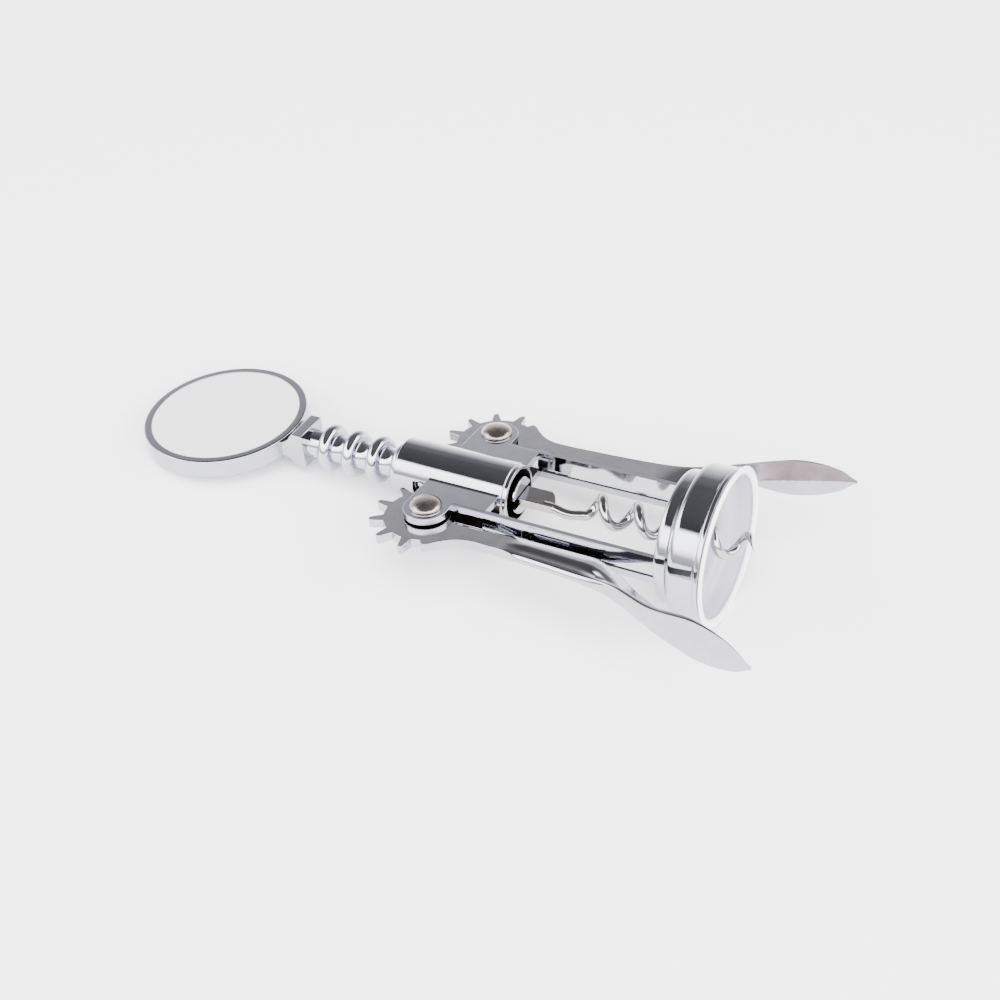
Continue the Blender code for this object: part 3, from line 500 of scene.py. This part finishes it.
def build_ears_and_legs():
    nose = arc((PIVOT_X, PIVOT_Y), EAR_NOSE, 0.0, math.pi, 40)
    corner_x = PIVOT_X + EAR_NOSE
    outline = [(EAR_END, 6.25), (EAR_END, LEG_Y), (corner_x, LEG_Y)] + nose
    outline.append((PIVOT_X - EAR_NOSE, 6.25))
    cut_width = LEG_CREST - (LEG_CREST - LEG_EDGE) * LEG_SLOT / LEG_TOP
    right = [(LEG_EDGE, -LEG_TOP), (LEG_CREST, -1.3), (LEG_CREST - 0.55, -0.85), (LEG_CREST, -0.3),
             (LEG_EDGE, LEG_TOP)]
    hexagon = [(-y, z) for y, z in reversed(right)] + right
    half = [(-LEG_EDGE, LEG_TOP), (-cut_width, LEG_SLOT), (cut_width, LEG_SLOT), (LEG_EDGE, LEG_TOP)]
    for name, side in (("left", 1.0), ("right", -1.0)):
        bm = bmesh.new()
        flat = [(x, side * y) for x, y in outline]
        prism(bm, flat, SLOT_HALF, EAR_TOP)
        prism(bm, flat, -EAR_TOP, -SLOT_HALF)
        ears = new_object(name + "_ears", bm, CASTING, "frame", CHROME, 30.0, 0.22, 3)
        # Painted shade: the ears' faces towards the slot get the near-black finish
        paint_shade(ears, lambda p: abs(p.z) < SLOT_HALF + 0.05)
        bm = bmesh.new()
        for section, a, b in (
            (hexagon, EAR_END, -11.4),
            (half, corner_x - 0.1, EAR_END + 0.02),
            ([(y, -z) for y, z in half], corner_x - 0.1, EAR_END + 0.02),
        ):
            skin(bm, [[(x, side * LEG_Y + y, z) for y, z in section] for x in (a, b)])
        new_object(name + "_leg", bm, CASTING, "frame", CHROME, 8.0)


def build_bell():
    """The bell from its back to its mouth, and in it the liner's rolled rim and cup."""
    back, collar, ring, front = -12.0, 14.9, 17.2, -1.0
    bore, seat, mouth, inner_back, step = 7.9, 13.95, 16.25, -10.7, -7.2
    bm = bmesh.new()
    profile = rounded([
        (back, bore), (back, collar - 0.3), (back + 0.8, collar), (-9.25, collar),
        (-9.15, collar - 0.45), (-8.35, collar - 0.45), (-8.2, ring - 0.35),
        (-7.3, ring), (-2.5, ring), (-2.2, ring - 0.2), (-2.0, ring + 0.2), (front, ring + 0.2),
        (front, mouth), (step, mouth), (step, seat), (inner_back, seat), (inner_back, bore),
    ], 0.55, 5)
    lathe(bm, profile, 180)
    new_object("bell_ring", bm, CASTING, "frame", CHROME, 60.0)

    bm = bmesh.new()
    lathe(bm, rounded([
        (-1.6, 15.95), (-0.72, 15.95), (-0.72, 17.65), (-0.4, 18.0), (-0.08, 17.75),
        (0.0, 17.1), (-0.1, 16.5), (-0.6, 16.2), (-1.6, 15.9),
    ], 0.5, 5), 180)
    rim = new_object("bell_rolled_rim", bm, CASTING, "frame", LINER, 60.0)
    # The cup is the liner's inside, in a darker copy of the liner's white: painted shade
    bm = bmesh.new()
    lathe(bm, rounded([
        (-10.4, 5.85), (-10.4, 13.65), (-6.95, 13.65), (-6.95, 15.93), (-0.75, 15.93),
        (-0.7, 16.15), (-4.6, 14.9), (-6.1, 12.6), (-8.6, 11.8), (-9.1, 5.85),
    ], 0.9, 5), 180)
    cup = new_object("bell_cup", bm, CASTING, "frame", LINER_SHADE, 60.0)
    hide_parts("bell_liner")
    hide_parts("bell_liner")


def build_rivets():
    """Each rivet is whole: a low domed head below, the shank, and a higher domed head above."""
    under, edge = EAR_TOP + 0.05, 0.3
    for name, side in (("left_rivet", 1.0), ("right_rivet", -1.0)):
        profile = [(-under - RIVET_BASE, 0.0)]
        for k in range(1, 11):
            t = 0.5 * math.pi * k / 10.0
            profile.append((-under - RIVET_BASE * math.cos(t), RIVET_HEAD_R * math.sin(t)))
        profile += [(-under, RIVET_R), (under, RIVET_R), (under, RIVET_HEAD_R - 0.1)]
        for k in range(14):
            t = 0.5 * math.pi * (1.0 - k / 14.0)
            along = under + edge + (RIVET_RISE - edge) * math.cos(t)
            profile.append((along, RIVET_HEAD_R * math.sin(t)))
        profile.append((under + RIVET_RISE, 0.0))
        bm = bmesh.new()
        lathe(bm, profile, 64, "Z", (PIVOT_X, side * PIVOT_Y, 0.0))
        rivet = new_object(name + "_head", bm, CASTING, "frame", NICKEL, 60.0)
        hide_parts(name)


# ---------------------------------------------------------------- levers

def gear_point(angle, radius, across=0.0):
    """A point about the pivot, from the line towards the tool's axis, growing to the handle."""
    x = -radius * math.sin(angle) - across * math.cos(angle)
    y = -radius * math.cos(angle) + across * math.sin(angle)
    return (x, y)


def gear_outline():
    """The lever's gear plate: hub, teeth in mesh with the rack at rest, shoulder and neck."""
    gap = FIRST_RING + RING_PITCH / 2.0
    while gap < PIVOT_X:
        gap += RING_PITCH
    first = -(gap - PIVOT_X) / PITCH_R
    outline = [gear_point(math.radians(a), BOSS_R) for a in (-85.0, -76.0, -68.0, -60.0)]
    outline.append(gear_point(first - 0.9 * TOOTH, 0.5 * (BOSS_R + GEAR_R)))
    outline += [gear_point(first - share * TOOTH, GEAR_R) for share in (0.6, 0.5, 0.4)]
    root = math.sqrt(GEAR_R ** 2 - 1.2 ** 2)
    for k in range(TEETH):
        angle = first + k * TOOTH
        outline.append(gear_point(angle, root, -1.2))
        for n in range(13):
            turn = -0.5 * math.pi + math.pi * n / 12.0
            outline.append(gear_point(angle, TIP_R - 0.7 + 0.7 * math.cos(turn), 0.7 * math.sin(turn)))
        outline.append(gear_point(angle, root, 1.2))
        if k < TEETH - 1:
            for share in (0.35, 0.5, 0.65):
                outline.append(gear_point(angle + share * TOOTH, GEAR_R))
    last = first + (TEETH - 1) * TOOTH
    shoulder = math.radians(207.0)
    for share in (0.35, 0.5, 0.65, 0.8):
        outline.append(gear_point(last + (shoulder - last) * share, GEAR_R - 0.2 + 0.5 * share ** 4))
    step = math.radians(4.0)
    outline.append(gear_point(shoulder - step, 10.9))
    outline.append(gear_point(shoulder - 0.4 * step, 11.3))
    outline.append(gear_point(shoulder + 0.2 * step, 11.4))
    outline.append(gear_point(shoulder + step, 11.3))
    start = gear_point(shoulder + step, 11.4)
    end = EAR_END - PIVOT_X + 9.0
    sweep = end - 7.5
    for k in range(1, 24):
        t = k / 24.0
        outline.append((start[0] + (sweep - start[0]) * t, 5.0 + (start[1] - 5.0) * (1.0 - t) ** 2.2))
    outline += [(sweep, 5.0), (end, 5.0), (end, -0.7)]
    for back, y in ((1.5, -0.65), (3.5, -0.28), (5.5, 0.15), (7.0, 0.38), (9.0, 0.5), (14.5, 0.5)):
        outline.append((end - back, y))
    return outline


# The arm's outer side and inner side in Y and its half height in Z, as stations along X
ARM_OUTER = [
    (-48.0, 21.8), (-44.0, 21.9), (-36.0, 22.3), (-28.0, 22.9), (-21.5, 23.6), (-17.0, 24.7),
    (-13.0, 26.4), (-8.5, 28.6), (-3.5, 30.3), (1.5, 31.5), (6.5, 32.7), (11.5, 33.9), (17.2, 35.3),
]
ARM_INNER = [
    (-48.0, 17.3), (-43.5, 16.4), (-36.0, 16.2), (-28.0, 16.2), (-23.5, 16.5), (-18.0, 18.6),
    (-12.5, 22.1), (-8.0, 24.6), (-3.5, 27.0), (1.0, 29.0), (6.5, 31.3), (11.5, 33.3), (17.2, 35.05),
]
ARM_HEIGHT = [
    (-48.0, 1.05), (-45.0, 1.11), (-36.0, 1.11), (-28.0, 1.13), (-22.0, 1.3), (-16.0, 1.7),
    (-11.0, 2.1), (-6.5, 2.6), (-1.0, 3.75), (3.8, 4.55), (9.0, 4.15), (13.5, 2.75), (17.2, 0.35),
]


# The bar's ribbed face, from its outer edge to its inner one: a round edge, a flat, a step, a rib
RIB_FACE = [
    (0.0, 0.45), (0.02, 0.62), (0.045, 0.72), (0.09, 0.79), (0.2, 0.79), (0.33, 0.79), (0.37, 0.82),
    (0.43, 0.96), (0.49, 1.12), (0.55, 1.21), (0.61, 1.2), (0.78, 1.09), (0.93, 0.98), (0.98, 0.85),
    (1.0, 0.65),
]


def arm_section(x):
    """A low ribbed bar near the gear, an upright leaf with a crest inside at the paddle.

    leaf grows from 0 on the bar to 1 on the paddle, formed from 0 at the gear to 1 where the rib
    is full, and hollow deepens the flat beside the rib before the neck.
    """
    outer, inner, height = (through(s, x) for s in (ARM_OUTER, ARM_INNER, ARM_HEIGHT))
    leaf = smooth((x + 26.0) / 13.0)
    formed = smooth((x + 44.5) / 5.0)
    hollow = 0.7 * smooth((x + 27.0) / 7.0) * smooth((-14.5 - x) / 3.0)
    width = outer - inner
    rim = min(1.1, 0.45 * width)
    bulge = 0.35 * min(1.0, width / 1.5)
    points = []

    def add(bar, paddle):
        y, z = (a * (1.0 - leaf) + b * leaf for a, b in zip(bar, paddle))
        points.append((x, y, z))

    for k in range(11):
        t = -1.0 + k / 5.0
        side = -1.0 + (t + 1.0) * (1.0 - 0.275 * formed)
        bow = 1.0 - t * t
        add((outer + 0.35 * formed * bow, height * side), (outer + bulge * bow, height * t))
    for across, rise in RIB_FACE:
        level = height * (1.0 - formed + rise * formed)
        level -= hollow * math.exp(-((across - 0.34) / 0.15) ** 2)
        if across < 0.45:
            share = across / 0.45
            crown = 0.3 * rim * math.sin(math.pi * share) * min(1.0, height)
            paddle = (outer - rim * share, height + 0.5 * crown)
        else:
            share = (across - 0.45) / 0.55
            paddle = (outer - rim - (width - rim) * share, height * (1.0 - share) + 0.04 * share)
        add((outer - width * across, level), paddle)
    for k in range(8):
        share = k / 7.0
        back = outer - rim - (width - rim) * (1.0 - share)
        add((inner + 0.97 * width * share, -height), (back, -height * share - 0.04 * (1.0 - share)))
    return points


def build_lever(name, side):
    """The two levers are one casting: the far one lies turned over, with its rib below."""
    mirror = Matrix.Scale(side, 4, (0.0, 1.0, 0.0))
    bm = bmesh.new()
    prism(bm, [(x + PIVOT_X, y + PIVOT_Y) for x, y in gear_outline()], -LEVER_HALF, LEVER_HALF)
    bm.transform(mirror)
    gear = new_object(name + "_gear", bm, CASTING, name, ARM_CHROME, 30.0, 0.2, 3)
    bm = bmesh.new()
    steps = 190
    start, end = ARM_OUTER[0][0], ARM_OUTER[-1][0]
    skin(bm, [arm_section(start + (end - start) * k / steps) for k in range(steps + 1)])
    bm.transform(mirror @ Matrix.Scale(-side, 4, (0.0, 0.0, 1.0)))
    arm = new_object(name + "_arm", bm, CASTING, name, ARM_CHROME, 30.0)
    arm.data.materials.append(PADDLE_WARM)
    to_tool = CASTING.inverted()
    for face in arm.data.polygons:
        middle = (to_tool @ face.center) / MM
        normal = to_tool.to_3x3() @ face.normal
        if middle.x > WARM_X and normal.y * side < -0.25 and middle.z > 0.0:
            face.material_index = 1
    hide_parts(name)
    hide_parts(name)


build_handle()
build_rack()
build_worm(build_spindle())
build_barrel()
build_ears_and_legs()
build_bell()
build_rivets()
build_lever("left_lever", 1.0)
build_lever("right_lever", -1.0)


# ---------------------------------------------------------------- studio and camera

def build_floor():
    """A plain pale floor, 6 m across."""
    bm = bmesh.new()
    bmesh.ops.create_grid(bm, x_segments=8, y_segments=8, size=3.0)
    mesh = bpy.data.meshes.new("floor")
    bm.to_mesh(mesh)
    bm.free()
    floor = bpy.data.objects.new("floor", mesh)
    bpy.context.scene.collection.objects.link(floor)
    mat = bpy.data.materials.new("floor_white")
    mat.use_nodes = True
    shader = mat.node_tree.nodes["Principled BSDF"]
    shader.inputs["Base Color"].default_value = (0.95, 0.95, 0.95, 1.0)
    shader.inputs["Roughness"].default_value = 0.9
    mesh.materials.append(mat)


def build_studio():
    """A white front, a dark ceiling and a grey back, as a tent round a table gives."""
    world = bpy.data.worlds.new("studio")
    bpy.context.scene.world = world
    world.use_nodes = True
    tree = world.node_tree
    back = tree.nodes["Background"]
    place = tree.nodes.new("ShaderNodeTexCoord")
    split = tree.nodes.new("ShaderNodeSeparateXYZ")
    tree.links.new(place.outputs["Generated"], split.inputs["Vector"])

    def ramp(stops):
        made = tree.nodes.new("ShaderNodeValToRGB")
        elements = made.color_ramp.elements
        while len(elements) < len(stops):
            elements.new(0.5)
        for element, (position, value) in zip(elements, stops):
            element.position = position
            element.color = (value, value, value * 1.04, 1.0)
        tree.links.new(split.outputs["Z"], made.inputs["Fac"])
        return made

    front = ramp([(0.0, 0.10), (0.17, 0.16), (0.36, 0.95), (0.655, 1.05), (0.72, 0.011), (1.0, 0.022)])
    rear = ramp([
        (0.0, 0.36), (0.22, 0.2), (0.45, 0.085), (0.57, 0.035), (0.70, 0.03), (0.78, 0.02), (1.0, 0.022),
    ])
    facing = tree.nodes.new("ShaderNodeVectorMath")
    facing.operation = "DOT_PRODUCT"
    facing.inputs[1].default_value = (0.46, -0.89, 0.0)
    tree.links.new(place.outputs["Generated"], facing.inputs[0])
    side = tree.nodes.new("ShaderNodeMapRange")
    side.interpolation_type = "SMOOTHSTEP"
    side.inputs["From Min"].default_value = -0.55
    side.inputs["From Max"].default_value = -0.15
    tree.links.new(facing.outputs["Value"], side.inputs["Value"])
    mix = tree.nodes.new("ShaderNodeMix")
    mix.data_type = "RGBA"
    tree.links.new(side.outputs["Result"], mix.inputs["Factor"])
    tree.links.new(rear.outputs["Color"], mix.inputs["A"])
    tree.links.new(front.outputs["Color"], mix.inputs["B"])
    tree.links.new(mix.outputs["Result"], back.inputs["Color"])
    back.inputs["Strength"].default_value = 10.0

    for name, spot, size, power in (
        ("overhead", (0.1, -0.2, 1.2), 1.2, 42.0), ("bell_side", (0.9, -0.35, 0.45), 0.6, 7.0),
    ):
        light = bpy.data.lights.new(name, "AREA")
        light.shape = "SQUARE"
        light.size = size
        light.energy = power
        lamp = bpy.data.objects.new(name, light)
        lamp.location = spot
        lamp.rotation_euler = Vector(spot).to_track_quat("Z", "Y").to_euler()
        lamp.visible_glossy = False
        bpy.context.scene.collection.objects.link(lamp)


def build_camera():
    camera = bpy.data.cameras.new("camera")
    camera.lens = 51.773
    camera.sensor_width = 36.0
    camera.clip_start = 0.01
    obj = bpy.data.objects.new("camera", camera)
    obj.location = (0.12803, -0.22311, 0.22744)
    obj.rotation_euler = Euler([math.radians(v) for v in (49.01, -0.133, 27.478)])
    bpy.context.scene.collection.objects.link(obj)
    bpy.context.scene.camera = obj


build_floor()
build_studio()
build_camera()
